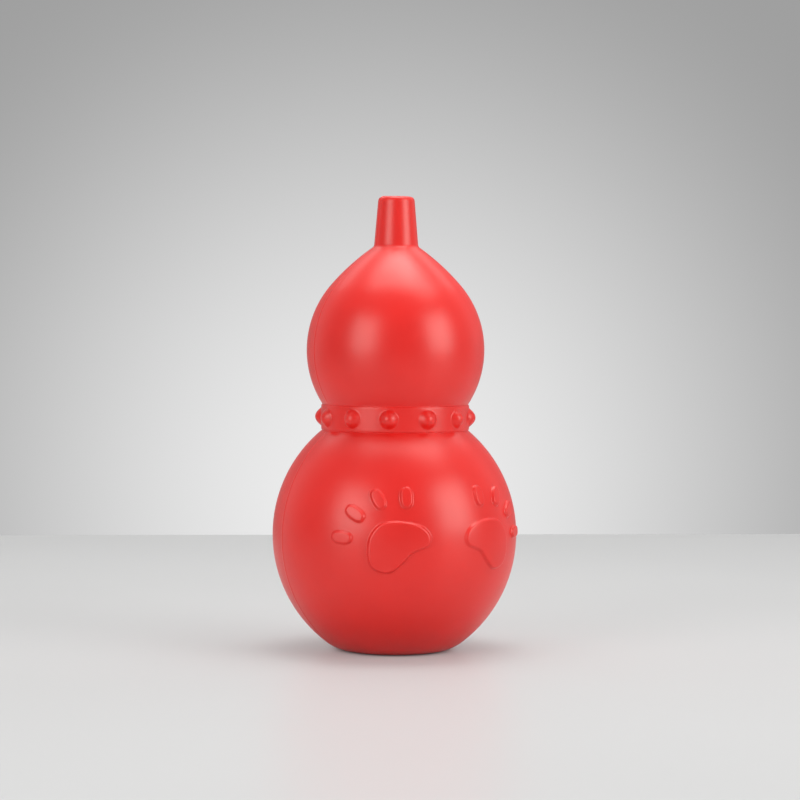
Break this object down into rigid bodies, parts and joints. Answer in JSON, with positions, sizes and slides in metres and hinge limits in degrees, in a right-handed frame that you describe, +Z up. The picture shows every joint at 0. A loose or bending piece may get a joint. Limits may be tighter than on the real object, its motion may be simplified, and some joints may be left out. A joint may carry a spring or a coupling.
{
  "type": "dog toy",
  "caption": "Hollow moulded rubber dog toy in the shape of a gourd, with a stem, a studded collar at the waist, raised paw prints and a squeaker pressed into its flat base.",
  "frame": {"origin": "centre of the flat base, on the plane that the toy stands on", "axes": "+Z up along the stem, -Y towards the middle of the front half with its two paw prints, +X to the right seen from the front"},
  "size_m": [0.0704, 0.071, 0.131],
  "materials": {
    "rubber": "satin moulded red rubber",
    "squeaker_plastic": "natural white polyethylene",
    "reed_brass": "thin rolled brass"
  },
  "bodies": {
    "body": {"front_shell": "rubber", "back_shell": "rubber", "squeaker_housing": "squeaker_plastic", "reed_block": "squeaker_plastic", "reed_clip": "squeaker_plastic", "squeaker_cap": "squeaker_plastic"},
    "reed": {"squeaker_reed": "reed_brass"}
  },
  "joints": [
    {"name": "reed_flutter", "type": "hinge", "parent": "body", "child": "reed", "pos_m": [0, -0.00082, 0.0081], "axis": [1, 0, 0], "range_deg": [-3, 3], "stiffness_Nm_per_rad": 0.0002}
  ]
}
